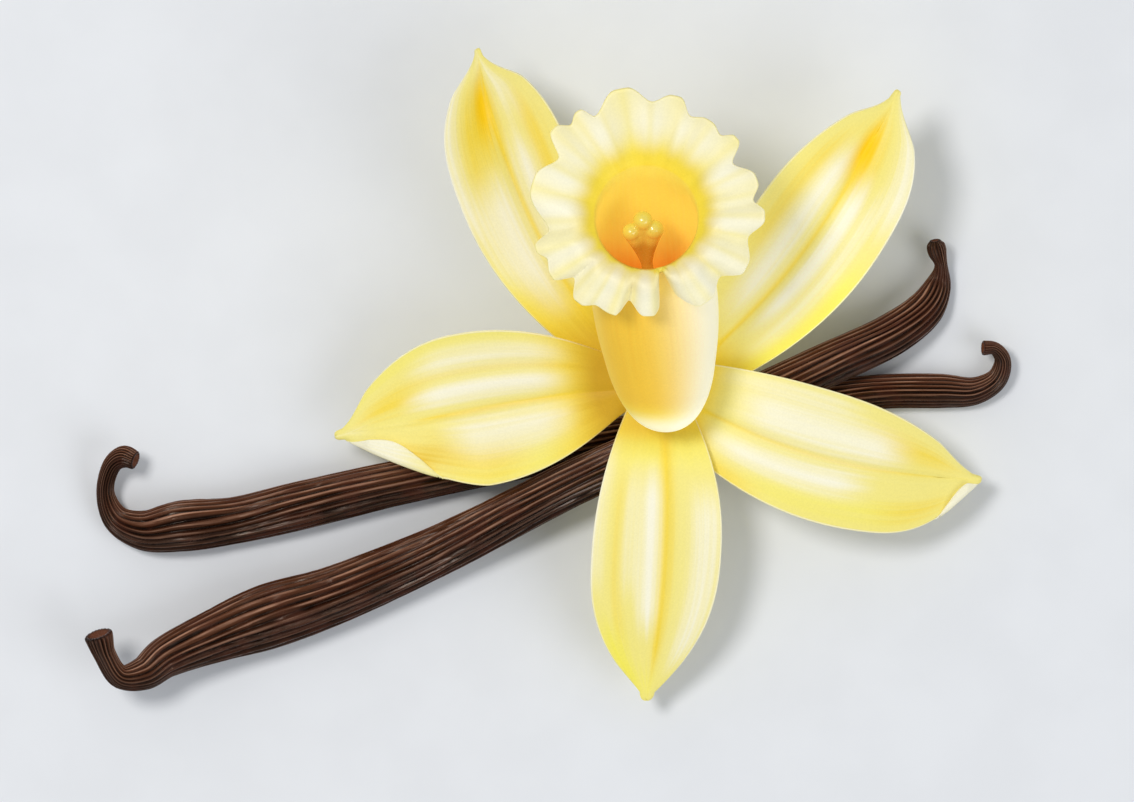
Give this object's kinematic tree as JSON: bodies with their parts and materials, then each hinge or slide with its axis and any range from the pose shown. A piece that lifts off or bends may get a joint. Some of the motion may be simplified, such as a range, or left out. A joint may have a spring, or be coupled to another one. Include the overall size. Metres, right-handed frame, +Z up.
{
  "type": "vanilla pods with a vanilla flower",
  "caption": "Loose, crossed cured vanilla pods with hooked ends, ridged dark brown skin and a pale yellow vanilla flower laid on the crossing.",
  "frame": {"origin": "middle of the footprint, on the table under the pods", "axes": "+X along the pods towards their right ends, +Y towards the side that the mouth of the flower leans to, +Z up from the table"},
  "size_m": [0.1564, 0.1096, 0.0507],
  "materials": {
    "pod_skin": "satin, oily ridges",
    "petal": "soft satin",
    "trumpet_skin": "soft satin",
    "column_skin": "soft gloss",
    "core_skin": "soft satin"
  },
  "bodies": {
    "root": {"pod_lower": "pod_skin", "pod_upper": "pod_skin", "petal_upper_left": "petal", "petal_upper_right": "petal", "petal_left": "petal", "petal_right": "petal", "petal_lower": "petal", "trumpet": "trumpet_skin", "column": "column_skin", "flower_core": "core_skin"}
  },
  "joints": []
}
